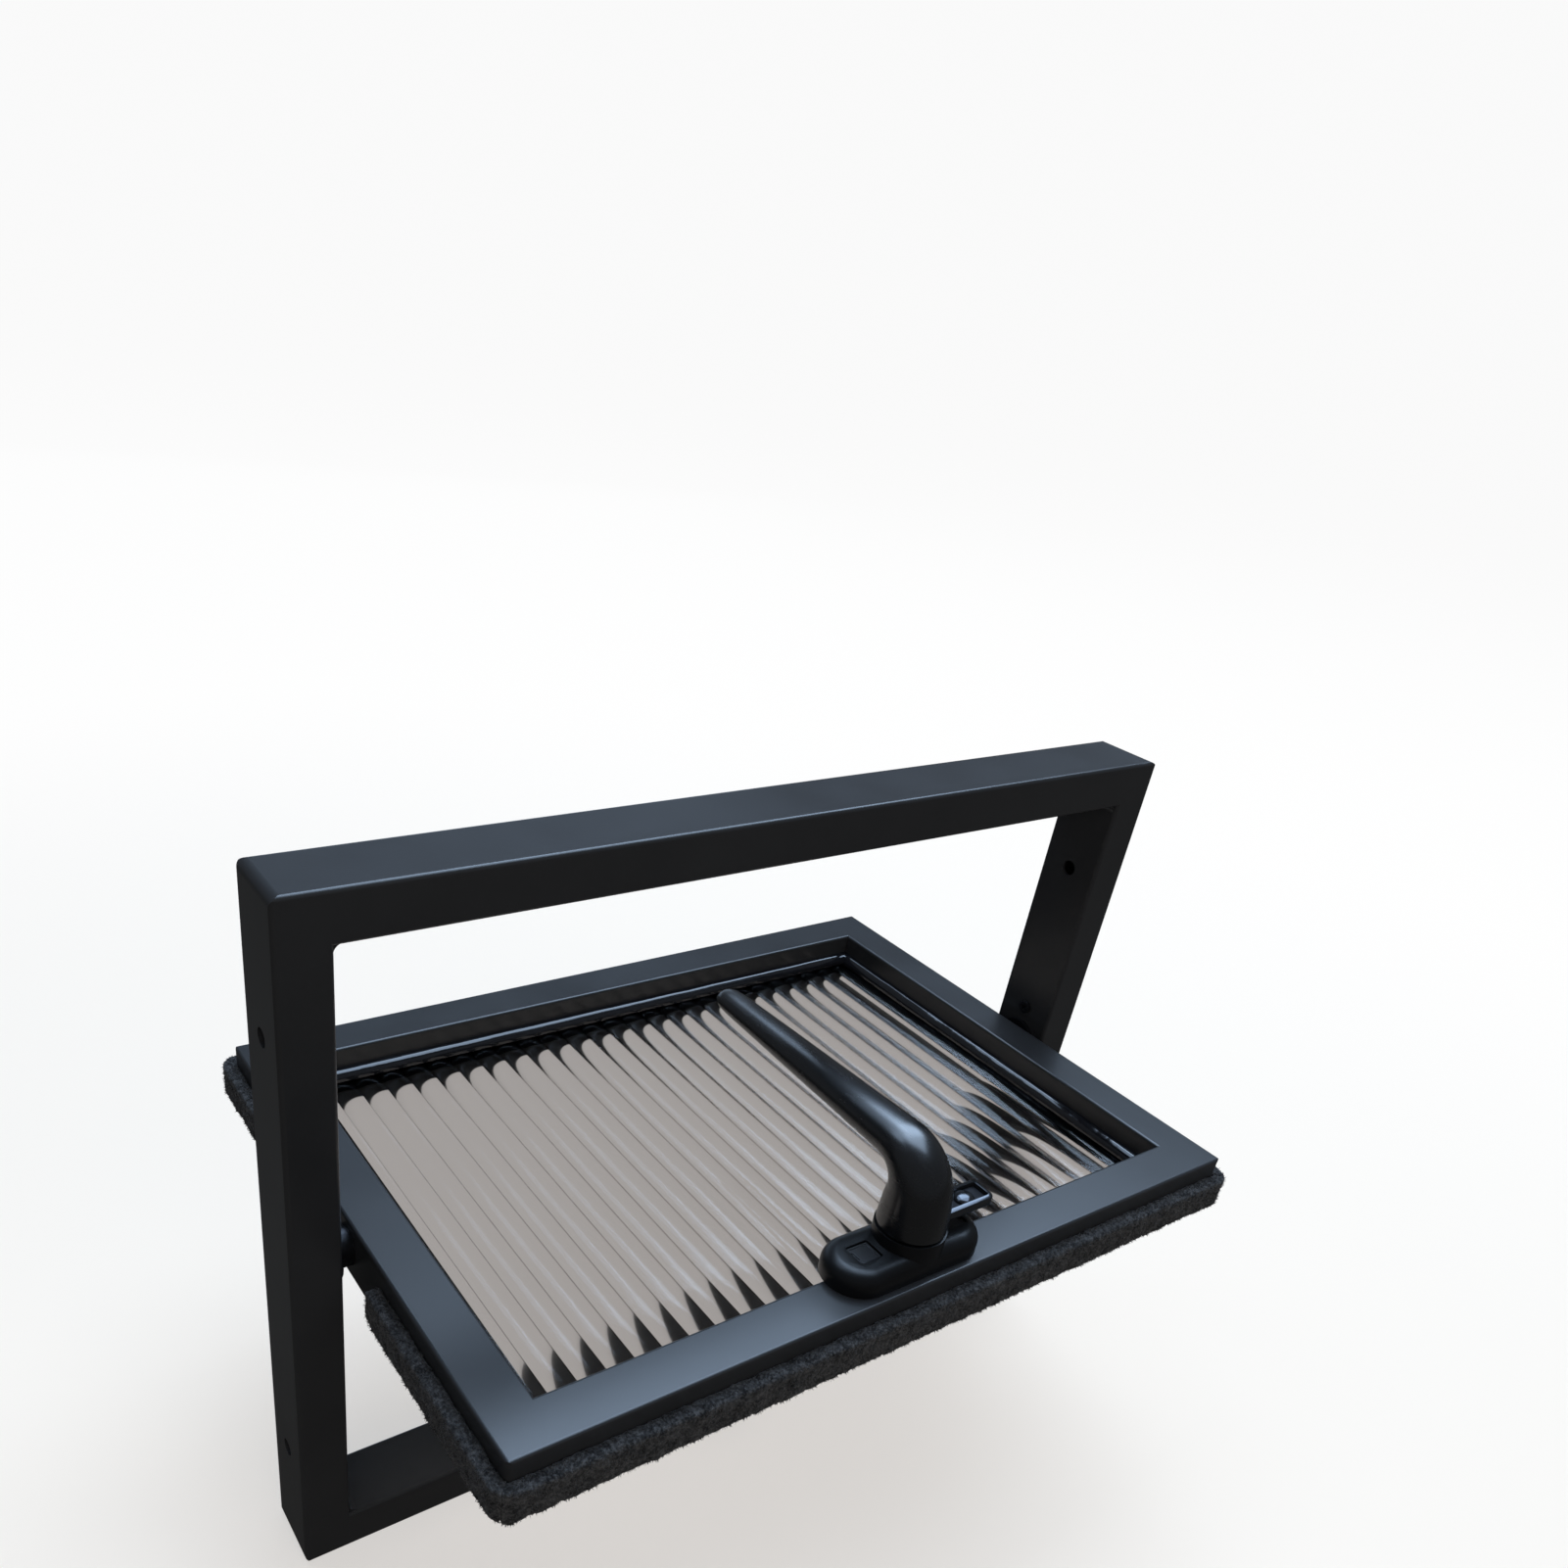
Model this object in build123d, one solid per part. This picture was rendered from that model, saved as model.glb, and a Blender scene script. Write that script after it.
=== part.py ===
"""Centre-pivot window: a box-tube frame with a reeded-glass sash, shown turned open to level.

The frame stands on its sill. X runs along the width, Y from the room side (-Y, where the handle
rail has swung in) to the outside, Z up. The origin is the middle of the sill's underside.
The sash lies level at rest: its handle face looks up and its top rail points to +Y.
"""
import os
from math import atan2, cos, degrees, radians, sin

from build123d import *

# Fixed frame of welded box tube
WIDTH = 400.0
HEIGHT = 300.0
FRAME_DEPTH = 30.0
FRAME_FACE = 19.0
FRAME_WALL = 1.6
FRAME_OUTER_RADIUS = 3.6
FRAME_WELD_RADIUS = 3.6
FRAME_EDGE_RADIUS = 1.6

# Fixing holes through both walls of each jamb
FIXING_SPACING = 190.0
FIXING_RADIUS = 3.5

# Sash of lighter box tube, turning inside the frame
SASH_GAP = 7.0
SASH_DEPTH = 25.0
SASH_FACE = 19.5
SASH_WALL = 1.6
SASH_OUTER_RADIUS = 2.6
SASH_EDGE_RADIUS = 1.2

# Reeded glass, its beads at the back and the sealant line on its front
GLASS_RECESS = 14.0
GLASS_THICKNESS = 5.0
FLUTE_PITCH = 11.4
FLUTE_DEPTH = 1.2
GLASS_EDGE_GAP = 0.5
BEAD_FACE = 8.0
BEAD_EASE = 0.8
SEALANT_WIDTH = 4.5
SEALANT_HEIGHT = 4.5
SEALANT_LIP = 0.8
SEALANT_LIFT = 0.02

# Pile strip round the sash's edge
PILE_WIDTH = 14.0
PILE_PROUD = 5.5
PILE_SETBACK = 8.0
PILE_CORNER_RADIUS = 8.0
PILE_PIVOT_GAP = 30.0

# Pivots at mid-height: a pin on each stile runs in a plate on each jamb
PIN_RADIUS = 4.0
PIN_REACH = 5.0
PIN_CLEARANCE = 0.06
PIN_SEAT_CLEARANCE = 0.1
COLLAR_RADIUS = 8.0
COLLAR_CLEARANCE = 0.5
JAMB_HOLE_CLEARANCE = 1.0
PLATE_THICKNESS = 2.0
PLATE_WIDTH = 20.0
PLATE_LENGTH = 24.0

# Handle base on the bottom rail: a crowned stadium with a boss that carries the lever
HANDLE_SETBACK = 17.0
BASE_LENGTH = 70.0
BASE_WIDTH = 27.6
BASE_OFFSET = -2.0
BASE_HEIGHT = 9.5
BASE_RIM_HEIGHT = 4.5
BASE_SHOULDER_HEIGHT = 7.8
BASE_SHOULDER_INSET = 1.3
BASE_CROWN_INSET = 4.0
BOSS_HEIGHT = 14.5
BOSS_RADIUS = 13.7
COVER_INSET = 13.5
COVER_LENGTH = 10.0
COVER_WIDTH = 9.0
COVER_DEPTH = 2.5
COVER_SINK = 0.6
COVER_CLEARANCE = 0.15
COVER_SLOT_WIDTH = 1.6
COVER_SLOT_DEPTH = 1.0

# Lever: a spindle, a neck, a bend and a tapering grip
SPINDLE_RADIUS = 5.0
SPINDLE_CLEARANCE = 0.06
SPINDLE_FLOOR = 1.5
LEVER_LIFT = 0.4
NECK_RADIUS = 13.5
WAIST_RADIUS = 12.8
BEND_RADIUS = 15.5
BEND_STEPS = 6
LEVER_HEIGHT = 44.0
LEVER_REACH = 127.0
LEVER_SIDES = 24
LEVER_HALF_WIDTH = 10.5
LEVER_HALF_THICKNESS = 7.8
TIP_HALF_WIDTH = 6.4
TIP_HALF_THICKNESS = 4.6
TIP_ROUND = 6.0
TIP_STEPS = 3
TIP_TURN = 75.0

# Locking spur let into the side of the neck
SPUR_REACH = 37.5
SPUR_WIDTH = 12.0
SPUR_THICKNESS = 4.2
SPUR_NOSE_RADIUS = 3.0
SPUR_ROOT = 5.0
SPUR_LIFT = 0.8
SPUR_RIM = 1.8
SPUR_RECESS = 1.8
SPUR_BUTTON_RADIUS = 3.2
SPUR_BUTTON_TOP_RADIUS = 2.0
SPUR_SEAT_CLEARANCE = 0.1

# Keeper on the sill's room face: a foot, a post and an arm that the spur turns in behind
KEEPER_LENGTH = 60.0
KEEPER_HEIGHT = 14.0
KEEPER_FOOT = 2.5
KEEPER_POST_LENGTH = 9.0
KEEPER_ARM = 3.2
KEEPER_ARM_LENGTH = 28.0
KEEPER_SIDE_CLEARANCE = 1.5
KEEPER_SPUR_CLEARANCE = 1.0

# Places worked out from the sizes above
PIVOT_Z = HEIGHT / 2
JAMB_INNER_X = WIDTH / 2 - FRAME_FACE
SASH_WIDTH = WIDTH - 2 * (FRAME_FACE + SASH_GAP)
SASH_HEIGHT = HEIGHT - 2 * (FRAME_FACE + SASH_GAP)
SASH_TOP_Z = PIVOT_Z + SASH_DEPTH / 2
SASH_BACK_Z = PIVOT_Z - SASH_DEPTH / 2
OPENING_WIDTH = SASH_WIDTH - 2 * SASH_FACE
OPENING_HEIGHT = SASH_HEIGHT - 2 * SASH_FACE
GLASS_TOP_Z = SASH_TOP_Z - GLASS_RECESS
GLASS_BACK_Z = GLASS_TOP_Z - GLASS_THICKNESS
HANDLE_Y = -SASH_HEIGHT / 2 + HANDLE_SETBACK
COVER_X = [COVER_INSET - BASE_LENGTH / 2, BASE_LENGTH / 2 - COVER_INSET]
SPUR_BOTTOM = BOSS_HEIGHT + SPUR_LIFT


def between(start, end, share):
    """The value that lies the given share of the way from start to end."""
    return start + (end - start) * share


def rounded_block(width, height, depth, radius):
    """A block centred on the origin with its four upright edges rounded."""
    return extrude(RectangleRounded(width, height, radius), depth / 2, both=True)


def mitre_wedges(width, height, reach, depth):
    """Prisms that part a rectangular ring along its corner diagonals."""
    x = width / 2
    y = height / 2
    inner_x = x - reach
    inner_y = y - reach
    outlines = {
        "top": [(-x, y), (x, y), (inner_x, inner_y), (-inner_x, inner_y)],
        "bottom": [(-x, -y), (x, -y), (inner_x, -inner_y), (-inner_x, -inner_y)],
        "left": [(-x, -y), (-x, y), (-inner_x, inner_y), (-inner_x, -inner_y)],
        "right": [(x, -y), (x, y), (inner_x, inner_y), (inner_x, -inner_y)],
    }
    return {
        side: extrude(make_face(Polyline(*points, close=True)), depth, both=True)
        for side, points in outlines.items()
    }


def mitred_tubes(width, height, depth, face, wall, edge_radius, corner_radius):
    """Four box tubes of rounded section round an opening in the XY plane, cut along the diagonals."""
    section = RectangleRounded(face, depth, edge_radius) - Rectangle(face - 2 * wall, depth - 2 * wall)
    across = extrude(Plane.YZ * section, width / 2, both=True)
    along = extrude(Plane.XZ * section, height / 2, both=True)
    places = {
        "top": Pos(0, (height - face) / 2) * across,
        "bottom": Pos(0, (face - height) / 2) * across,
        "left": Pos((face - width) / 2, 0) * along,
        "right": Pos((width - face) / 2, 0) * along,
    }
    outline = rounded_block(width, height, depth, corner_radius)
    wedges = mitre_wedges(width, height, face, depth)
    return {side: places[side] & (wedges[side] & outline) for side in places}


def weld_fillets():
    """Concave fillets in the frame's inner corners, parted along the corner diagonals."""
    opening_width = WIDTH - 2 * FRAME_FACE
    opening_height = HEIGHT - 2 * FRAME_FACE
    depth = FRAME_DEPTH - 2 * FRAME_EDGE_RADIUS
    corners = Box(opening_width, opening_height, depth)
    corners -= rounded_block(opening_width, opening_height, depth, FRAME_WELD_RADIUS)
    wedges = mitre_wedges(opening_width, opening_height, FRAME_WELD_RADIUS, depth)
    return {side: corners & wedge for side, wedge in wedges.items()}


def frame_members():
    """Head, sill and jambs, with the fixing and pivot holes through the jambs."""
    upright = Pos(0, 0, PIVOT_Z) * Rot(90, 0, 0)
    members = mitred_tubes(
        WIDTH, HEIGHT, FRAME_DEPTH, FRAME_FACE, FRAME_WALL, FRAME_EDGE_RADIUS, FRAME_OUTER_RADIUS
    )
    fillets = weld_fillets()
    members = {side: upright * (member + fillets[side]) for side, member in members.items()}
    for side, sign in (("left", -1), ("right", 1)):
        across = Pos(sign * (WIDTH - FRAME_FACE) / 2, 0, PIVOT_Z) * Rot(0, 90, 0)
        for offset in (-FIXING_SPACING / 2, FIXING_SPACING / 2):
            members[side] -= Pos(0, 0, offset) * across * Cylinder(FIXING_RADIUS, 2 * FRAME_FACE)
        inner_wall = Pos(sign * JAMB_INNER_X, 0, PIVOT_Z) * Rot(0, 90, 0)
        members[side] -= inner_wall * Cylinder(PIN_RADIUS + JAMB_HOLE_CLEARANCE, FRAME_FACE)
    return {
        "frame_head": members["top"],
        "frame_sill": members["bottom"],
        "frame_jamb_left": members["left"],
        "frame_jamb_right": members["right"],
    }


def sash_members():
    """Rails and stiles of the level sash, with a seat for each pivot pin."""
    members = mitred_tubes(
        SASH_WIDTH, SASH_HEIGHT, SASH_DEPTH, SASH_FACE, SASH_WALL, SASH_EDGE_RADIUS, SASH_OUTER_RADIUS
    )
    members = {side: Pos(0, 0, PIVOT_Z) * member for side, member in members.items()}
    for side, sign in (("left", -1), ("right", 1)):
        seat = Pos(sign * SASH_WIDTH / 2, 0, PIVOT_Z) * Rot(0, 90, 0)
        members[side] -= seat * Cylinder(PIN_RADIUS + PIN_SEAT_CLEARANCE, SASH_FACE)
    return {
        "sash_top_rail": members["top"],
        "sash_bottom_rail": members["bottom"],
        "sash_stile_left": members["left"],
        "sash_stile_right": members["right"],
    }


def opening_ring(face, height, top):
    """A square-cut ring that lines the sash's opening; top picks its eased inner edges."""
    ring = Box(OPENING_WIDTH, OPENING_HEIGHT, height)
    ring -= Box(OPENING_WIDTH - 2 * face, OPENING_HEIGHT - 2 * face, height)
    level = ring.edges().group_by(Axis.Z)[-1 if top else 0]
    inner_edges = level.filter_by(
        lambda edge: abs(edge.center().X) < (OPENING_WIDTH - face) / 2
        and abs(edge.center().Y) < (OPENING_HEIGHT - face) / 2
    )
    return ring, inner_edges


def glazing_beads():
    """Mitred flat bars behind the glass, against the inner walls of the sash."""
    ring, inner_edges = opening_ring(BEAD_FACE, GLASS_BACK_Z - SASH_BACK_Z, top=False)
    ring = Pos(0, 0, (GLASS_BACK_Z + SASH_BACK_Z) / 2) * chamfer(inner_edges, BEAD_EASE)
    wedges = mitre_wedges(OPENING_WIDTH, OPENING_HEIGHT, BEAD_FACE, PIVOT_Z + SASH_DEPTH)
    return {"glazing_bead_" + side: ring & wedge for side, wedge in wedges.items()}


def glazing_sealant():
    """Sloped bead of sealant in the corner between the sash's inner walls and the glass."""
    ring, inner_edges = opening_ring(SEALANT_WIDTH, SEALANT_HEIGHT, top=True)
    ring = chamfer(inner_edges, SEALANT_WIDTH - SEALANT_LIP)
    return Pos(0, 0, GLASS_TOP_Z + SEALANT_LIFT + SEALANT_HEIGHT / 2) * ring


def glass_pane():
    """Sheet with convex flutes on its front that run from rail to rail."""
    width = OPENING_WIDTH - 2 * GLASS_EDGE_GAP
    flutes = round(width / FLUTE_PITCH)
    pitch = width / flutes
    valley = GLASS_TOP_Z - FLUTE_DEPTH
    left = -width / 2
    sheet = Polyline((left, valley), (left, GLASS_BACK_Z), (-left, GLASS_BACK_Z), (-left, valley))
    crowns = [
        ThreePointArc(
            (left + index * pitch, valley),
            (left + (index + 0.5) * pitch, GLASS_TOP_Z),
            (left + (index + 1) * pitch, valley),
        )
        for index in range(flutes)
    ]
    section = make_face([*sheet.edges(), *[crown.edge() for crown in crowns]])
    length = OPENING_HEIGHT - 2 * GLASS_EDGE_GAP
    return extrude(Plane.XZ * section, length / 2, both=True)


def pile_strips():
    """Brush strips round the sash's edge, rounded at the corners and open at the pivots."""
    width = SASH_WIDTH + 2 * PILE_PROUD
    height = SASH_HEIGHT + 2 * PILE_PROUD
    ring = rounded_block(width, height, PILE_WIDTH, PILE_CORNER_RADIUS)
    ring -= rounded_block(SASH_WIDTH, SASH_HEIGHT, PILE_WIDTH, SASH_OUTER_RADIUS)
    ring -= Box(2 * width, 2 * PILE_PIVOT_GAP, PILE_WIDTH)
    middle = Pos(0, 0, SASH_TOP_Z - PILE_SETBACK - PILE_WIDTH / 2)
    wedges = mitre_wedges(width, height, PILE_PROUD + SASH_OUTER_RADIUS, PILE_WIDTH)
    strips = {side: middle * (ring & wedge) for side, wedge in wedges.items()}
    nodes = {"pile_strip_top": strips["top"], "pile_strip_bottom": strips["bottom"]}
    for side in ("left", "right"):
        lower, upper = strips[side].solids().sort_by(Axis.Y)
        nodes[f"pile_strip_{side}_lower"] = lower
        nodes[f"pile_strip_{side}_upper"] = upper
    return nodes


def pivot_pin():
    """Turned pin: a spigot in the stile, a collar on its face and the running shaft."""
    collar_end = SASH_GAP - PLATE_THICKNESS - COLLAR_CLEARANCE
    shaft_end = SASH_GAP + PIN_REACH
    spigot_end = -SASH_FACE / 2 + PIN_SEAT_CLEARANCE
    profile = Polyline(
        (0, spigot_end), (PIN_RADIUS, spigot_end), (PIN_RADIUS, 0), (COLLAR_RADIUS, 0),
        (COLLAR_RADIUS, collar_end), (PIN_RADIUS, collar_end), (PIN_RADIUS, shaft_end),
        (0, shaft_end), close=True,
    )
    return revolve(Plane.XZ * make_face(profile), Axis.Z)


def pivot_plate():
    """Bearing plate on the jamb's inner face, with the pin's bore at its middle."""
    plate = extrude(SlotOverall(PLATE_LENGTH, PLATE_WIDTH), PLATE_THICKNESS)
    return plate - Cylinder(PIN_RADIUS + PIN_CLEARANCE, 4 * PLATE_THICKNESS)


def pivots():
    """Both pins and both plates on the axis through the middle of the stiles."""
    nodes = {}
    for side, turn, sign in (("left", -90, -1), ("right", 90, 1)):
        stile_face = Pos(sign * SASH_WIDTH / 2, 0, PIVOT_Z) * Rot(0, turn, 0)
        nodes["pivot_pin_" + side] = stile_face * pivot_pin()
        jamb_face = Pos(sign * (JAMB_INNER_X - PLATE_THICKNESS), 0, PIVOT_Z) * Rot(0, turn, 0)
        nodes["pivot_plate_" + side] = jamb_face * pivot_plate()
    return nodes


def handle_base():
    """Crowned stadium with a round boss, the spindle's bore and a pocket for each screw cover."""
    plate = extrude(Pos(BASE_OFFSET, 0) * SlotOverall(BASE_LENGTH, BASE_WIDTH), BASE_RIM_HEIGHT)
    crown = [
        (BASE_RIM_HEIGHT, 0),
        (BASE_SHOULDER_HEIGHT, BASE_SHOULDER_INSET),
        (BASE_HEIGHT, BASE_CROWN_INSET),
    ]
    for (bottom, inset), (top, next_inset) in zip(crown, crown[1:]):
        outline = SlotOverall(BASE_LENGTH - 2 * inset, BASE_WIDTH - 2 * inset)
        lean = degrees(atan2(next_inset - inset, top - bottom))
        plate += Pos(BASE_OFFSET, 0, bottom) * extrude(outline, top - bottom, taper=lean)
    boss_bottom = BASE_SHOULDER_HEIGHT
    boss_rise = BOSS_HEIGHT - boss_bottom
    plate += Pos(0, 0, boss_bottom + boss_rise / 2) * Cylinder(BOSS_RADIUS, boss_rise)
    bore_depth = BOSS_HEIGHT - SPINDLE_FLOOR
    plate -= Pos(0, 0, BOSS_HEIGHT - bore_depth / 2) * Cylinder(
        SPINDLE_RADIUS + SPINDLE_CLEARANCE, bore_depth
    )
    pocket = Box(COVER_LENGTH, COVER_WIDTH, 2 * (COVER_DEPTH + COVER_SINK))
    for x in COVER_X:
        plate -= Pos(x, 0, BASE_HEIGHT) * pocket
    return plate


def screw_cover():
    """Snap-in cap with a slot across it for levering it out."""
    cap = Box(COVER_LENGTH - 2 * COVER_CLEARANCE, COVER_WIDTH - 2 * COVER_CLEARANCE, COVER_DEPTH)
    slot = Box(COVER_SLOT_WIDTH, COVER_WIDTH, 2 * COVER_SLOT_DEPTH)
    return Pos(0, 0, COVER_DEPTH / 2) * (cap - Pos(0, 0, COVER_DEPTH / 2) * slot)


def lever_section(along, up, tilt, half_width, half_thickness):
    """Many-sided oval section of the lever, its plane tilted from level (0) to upright (90)."""
    normal = (0, sin(radians(tilt)), cos(radians(tilt)))
    plane = Plane(origin=(0, along, up), x_dir=(1, 0, 0), z_dir=normal)
    turns = [radians(360 * side / LEVER_SIDES) for side in range(LEVER_SIDES)]
    points = [(half_width * cos(turn), half_thickness * sin(turn)) for turn in turns]
    return plane * make_face(Polyline(*points, close=True))


def bend_sections():
    """Ovals round the lever's bend, from the neck's waist to the start of the grip."""
    sections = []
    for step in range(BEND_STEPS + 1):
        share = step / BEND_STEPS
        turn = radians(90 * share)
        sections.append(lever_section(
            BEND_RADIUS * (1 - cos(turn)),
            LEVER_HEIGHT - BEND_RADIUS * (1 - sin(turn)),
            90 * share,
            between(WAIST_RADIUS, LEVER_HALF_WIDTH, share),
            between(WAIST_RADIUS, LEVER_HALF_THICKNESS, share),
        ))
    return sections


def tip_sections():
    """Ovals that close the grip's end in a rounded nose."""
    sections = []
    for step in range(TIP_STEPS + 1):
        turn = radians(TIP_TURN * step / TIP_STEPS)
        sections.append(lever_section(
            LEVER_REACH - TIP_ROUND * (1 - sin(turn) / sin(radians(TIP_TURN))),
            LEVER_HEIGHT,
            90,
            TIP_HALF_WIDTH * cos(turn),
            TIP_HALF_THICKNESS * cos(turn),
        ))
    return sections


def handle_lever():
    """Swan neck that rises from the boss and runs out into a tapering grip."""
    foot = BOSS_HEIGHT + LEVER_LIFT
    neck = lever_section(0, foot, 0, NECK_RADIUS, NECK_RADIUS)
    grip = loft([neck, *bend_sections(), *tip_sections()], ruled=True)
    spindle_bottom = SPINDLE_FLOOR + LEVER_LIFT
    grip += Pos(0, 0, (spindle_bottom + foot) / 2) * Cylinder(SPINDLE_RADIUS, foot - spindle_bottom)
    seat = Box(
        2 * NECK_RADIUS, SPUR_WIDTH + 2 * SPUR_SEAT_CLEARANCE, SPUR_THICKNESS + 2 * SPUR_SEAT_CLEARANCE
    )
    seat_x = SPUR_ROOT - SPUR_SEAT_CLEARANCE + NECK_RADIUS
    return grip - Pos(seat_x, 0, SPUR_BOTTOM + SPUR_THICKNESS / 2) * seat


def spur_outline(root, reach, width, nose_radius):
    """Plan of the spur: straight sides from the neck to a nose with rounded corners."""
    plan = Pos((root + reach) / 2, 0) * Rectangle(reach - root, width)
    return fillet(plan.vertices().group_by(Axis.X)[-1], nose_radius)


def handle_spur():
    """Tongue with a raised rim and a button, let into the side of the neck."""
    tongue = extrude(spur_outline(SPUR_ROOT, SPUR_REACH, SPUR_WIDTH, SPUR_NOSE_RADIUS), SPUR_THICKNESS)
    tray = spur_outline(
        NECK_RADIUS + SPUR_RIM, SPUR_REACH - SPUR_RIM, SPUR_WIDTH - 2 * SPUR_RIM, SPUR_NOSE_RADIUS - SPUR_RIM
    )
    tray_floor = SPUR_THICKNESS - SPUR_RECESS
    tongue -= Pos(0, 0, tray_floor) * extrude(tray, SPUR_RECESS)
    button_x = (NECK_RADIUS + SPUR_REACH) / 2
    tongue += Pos(button_x, 0, tray_floor + SPUR_RECESS / 2) * Cone(
        SPUR_BUTTON_RADIUS, SPUR_BUTTON_TOP_RADIUS, SPUR_RECESS
    )
    return Pos(0, 0, SPUR_BOTTOM) * tongue


def handle_pieces():
    """The handle in place on the bottom rail, its lever lying back over the glass."""
    seat = Pos(0, HANDLE_Y, SASH_TOP_Z)
    cover_z = BASE_HEIGHT - COVER_SINK - COVER_DEPTH
    return {
        "handle_base": seat * handle_base(),
        "handle_screw_cover_left": seat * Pos(COVER_X[0], 0, cover_z) * screw_cover(),
        "handle_screw_cover_right": seat * Pos(COVER_X[1], 0, cover_z) * screw_cover(),
        "handle_lever": seat * handle_lever(),
        "handle_spur": seat * handle_spur(),
    }


def keeper():
    """Foot, post and arm on the sill: with the sash shut, the spur turns in behind the arm."""
    arm_start = (
        SASH_DEPTH / 2 + SPUR_BOTTOM + SPUR_THICKNESS + KEEPER_SPUR_CLEARANCE - FRAME_DEPTH / 2
    )
    rise = arm_start + KEEPER_ARM
    post_right = -SPUR_WIDTH / 2 - KEEPER_SIDE_CLEARANCE
    post_left = post_right - KEEPER_POST_LENGTH
    foot = extrude(SlotOverall(KEEPER_LENGTH, KEEPER_HEIGHT), KEEPER_FOOT)
    post = Pos((post_left + post_right) / 2, 0, rise / 2) * Box(KEEPER_POST_LENGTH, KEEPER_HEIGHT, rise)
    nose_x = post_left + KEEPER_ARM_LENGTH - KEEPER_HEIGHT / 2
    arm = Pos((post_left + nose_x) / 2, 0) * Rectangle(nose_x - post_left, KEEPER_HEIGHT)
    arm += Pos(nose_x, 0) * Circle(KEEPER_HEIGHT / 2)
    bracket = foot + post + Pos(0, 0, arm_start) * extrude(arm, KEEPER_ARM)
    return {"keeper": Pos(0, -FRAME_DEPTH / 2, FRAME_FACE / 2) * Rot(90, 0, 0) * bracket}


def main():
    nodes = {
        **frame_members(),
        **sash_members(),
        **glazing_beads(),
        "glass_pane": glass_pane(),
        "glazing_sealant": glazing_sealant(),
        **pile_strips(),
        **pivots(),
        **handle_pieces(),
        **keeper(),
    }
    os.makedirs("parts", exist_ok=True)
    for name, shape in nodes.items():
        export_step(shape, f"parts/{name}.step")


main()
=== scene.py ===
"""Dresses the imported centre-pivot window with its glass, pile strips, handle, screws and finishes.

Lengths are metres in the window's own frame. The frame stands on its sill and the sash lies level.
"""
import math
import random

import bpy
from mathutils import Matrix, Quaternion, Vector


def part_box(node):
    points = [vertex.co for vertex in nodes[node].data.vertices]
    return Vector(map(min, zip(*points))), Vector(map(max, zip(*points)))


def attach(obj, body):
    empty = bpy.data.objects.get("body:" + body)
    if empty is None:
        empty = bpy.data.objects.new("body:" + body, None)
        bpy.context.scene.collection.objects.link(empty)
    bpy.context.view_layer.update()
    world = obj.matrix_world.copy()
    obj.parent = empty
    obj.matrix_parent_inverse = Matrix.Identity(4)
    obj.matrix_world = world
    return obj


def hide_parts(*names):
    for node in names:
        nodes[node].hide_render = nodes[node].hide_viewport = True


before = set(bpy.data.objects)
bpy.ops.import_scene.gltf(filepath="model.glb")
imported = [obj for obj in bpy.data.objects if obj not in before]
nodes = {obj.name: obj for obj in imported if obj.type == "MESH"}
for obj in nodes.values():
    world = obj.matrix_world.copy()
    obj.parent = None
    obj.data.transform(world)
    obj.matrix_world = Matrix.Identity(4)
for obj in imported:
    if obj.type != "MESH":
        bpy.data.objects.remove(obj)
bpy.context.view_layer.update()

# A millimetre, how close counts as on a plane, and how close counts as the same point
MM = 0.001
NEAR = 1e-5
MERGE = 2e-6

# Camera, set to the photograph's square
CAMERA_PLACE = (-0.3031, -0.3390, 0.4672)
CAMERA_LOOK = (0.5183, 0.6679, -0.5341)
CAMERA_ROLL = 7.83
CAMERA_LENS = 29.23
CAMERA_SHIFT = (0.0753, 0.1746)

# Reeded glass
FLUTES = 27
FLUTE_DEPTH = 1.2 * MM
FLUTE_POINTS = 150
VALLEY_EASE = 0.7 * MM

# Sealant
SEALANT_WIDTH = 4.5 * MM
SEALANT_ROUND = 3.7 * MM
SEALANT_PROFILE = 0.46
SEALANT_CUTS = 70
SEALANT_LONG_EDGE = 100 * MM
SEALANT_WAVE = 0.5 * MM
SEALANT_WAVE_SCALE = 14 * MM

# Pile: lumps are pairs of noise scale and height, and fibres start just outside the sash's walls
PILE_VOXEL = 0.9 * MM
PILE_LUMPS = ((6 * MM, 1.3 * MM), (1.4 * MM, 0.9 * MM))
PILE_TUFTS_PER_MM2 = 1.7
PILE_TUFT_LENGTH = 1.3 * MM
PILE_TUFT_RADIUS = 0.2 * MM
PILE_TUFT_ROOT = 0.3 * MM
PILE_TUFT_LEAN = 0.45
PILE_FIRST_SEED = 11
SASH_HALF_WIDTH = 174 * MM
SASH_HALF_HEIGHT = 124 * MM
PILE_FOOT = 0.4 * MM

# Handle base and its screw covers
SPINDLE = Vector((0, -107, 162.5)) * MM
BASE_LENGTH = 70 * MM
BASE_WIDTH = 27.6 * MM
BASE_OFFSET = -2 * MM
BASE_RIM = 3.6 * MM
BASE_HEIGHT = 9.5 * MM
BASE_CROWN_INSET = 5.6 * MM
BASE_CROWN_STEPS = 9
BOSS_RADIUS = 13.6 * MM
BOSS_HEIGHT = 14.5 * MM
BOSS_START = 2 * MM
POCKET_ROOM = Vector((0.4, 0.4, 0.1)) * MM
POCKET_ROUND = 0.9 * MM
POCKET_TOP = SPINDLE.z + 20 * MM
CAP_RIM = 0.8 * MM
CAP_DISH = 0.3 * MM
NOTCH_LENGTH = 1.4 * MM
NOTCH_HALF_WIDTH = 2 * MM
NOTCH_DEPTH = 0.8 * MM

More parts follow.
